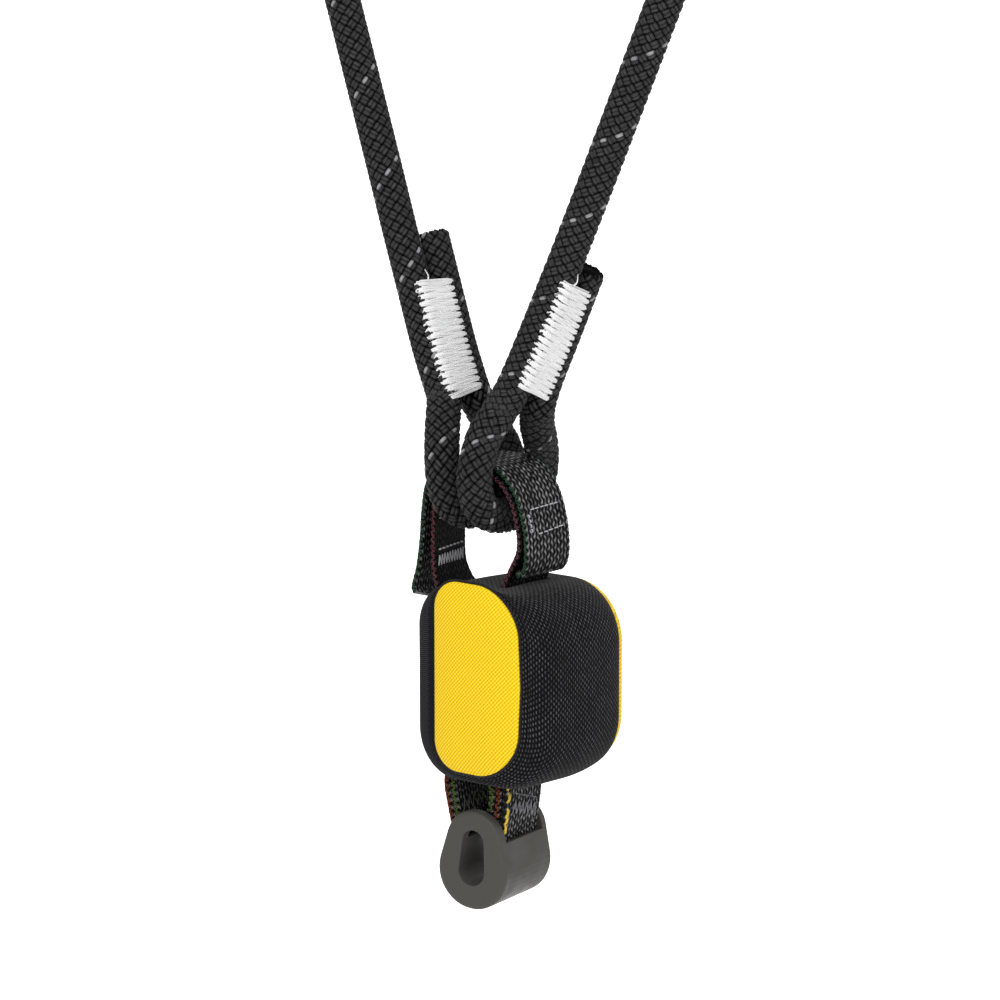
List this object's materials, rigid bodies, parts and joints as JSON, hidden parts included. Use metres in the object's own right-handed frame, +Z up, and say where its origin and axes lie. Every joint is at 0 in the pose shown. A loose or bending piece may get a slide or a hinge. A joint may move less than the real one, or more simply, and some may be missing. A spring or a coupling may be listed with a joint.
{
  "type": "shock-absorbing y lanyard",
  "caption": "Energy absorber in a zipped fabric pouch, with two rope arms with sewn eyes above and a webbing connector loop below.",
  "frame": {"origin": "midway between the lowest points of the two rope eyes, on the centre of the rope, where the arms hang in the webbing loop", "axes": "+Z up along the lanyard, from the connector loop towards the arms; +X from the left arm to the right arm; +Y across the webbing, towards the pouch's rear panel"},
  "size_m": [0.215, 0.0492, 0.388],
  "materials": {
    "rope": "braided sheath, black with light grey flecks",
    "white_thread": "sewn thread",
    "grey_thread": "sewn thread",
    "yellow_thread": "thick sewn thread",
    "webbing": "woven, slight sheen, coloured edges",
    "black_cover": "plain weave",
    "yellow_cover": "twill weave",
    "elastic": "knitted",
    "label": "smooth woven label",
    "rubber": "matt",
    "zip_metal": "satin"
  },
  "bodies": {
    "absorber": {"attachment_loop_inner_webbing": "webbing", "attachment_loop_outer_webbing": "webbing", "attachment_loop_left_stitching": "grey_thread", "attachment_loop_right_stitching": "grey_thread", "pouch_wrap": "black_cover", "pouch_front_panel": "yellow_cover", "pouch_rear_panel": "yellow_cover", "pouch_front_piping": "black_cover", "pouch_rear_piping": "black_cover", "zip_front_tape": "black_cover", "zip_rear_tape": "black_cover", "zip_coil": "black_cover", "tear_webbing_pack": "webbing", "tear_webbing_end_fold": "webbing", "pack_band": "elastic", "inspection_label": "label"},
    "left_arm": {"left_arm_rope": "rope", "left_arm_lower_bar_tack": "white_thread", "left_arm_upper_bar_tack": "white_thread", "left_arm_upper_positioner": "rubber"},
    "right_arm": {"right_arm_rope": "rope", "right_arm_lower_bar_tack": "white_thread", "right_arm_upper_bar_tack": "white_thread", "right_arm_upper_positioner": "rubber"},
    "connector_loop": {"connector_loop_inner_webbing": "webbing", "connector_loop_outer_webbing": "webbing", "connector_loop_left_stitching": "grey_thread", "connector_loop_right_stitching": "grey_thread", "yellow_indicator_stitching": "yellow_thread", "connector_positioner": "rubber"},
    "zip_slider": {"zip_slider": "zip_metal"},
    "zip_pull": {"zip_pull": "zip_metal"}
  },
  "joints": [
    {"name": "left_arm_swing", "type": "hinge", "parent": "absorber", "child": "left_arm", "pos_m": [-0.006, 0, 0.0148], "axis": [0, 1, 0], "range_deg": [0, 11]},
    {"name": "right_arm_swing", "type": "hinge", "parent": "absorber", "child": "right_arm", "pos_m": [0.006, 0, 0.0148], "axis": [0, -1, 0], "range_deg": [0, 13]},
    {"name": "connector_loop_flex", "type": "hinge", "parent": "absorber", "child": "connector_loop", "pos_m": [0, 0, -0.079], "axis": [-0.1392, 0.9903, 0], "range_deg": [-10, 10]},
    {"name": "zip_slide", "type": "slide", "parent": "absorber", "child": "zip_slider", "axis": [0, 0, 1], "range_m": [0, 0.02]},
    {"name": "zip_pull_swing", "type": "hinge", "parent": "zip_slider", "child": "zip_pull", "pos_m": [-0.0225, 0, -0.064], "axis": [0, 1, 0], "range_deg": [0, 150]}
  ]
}
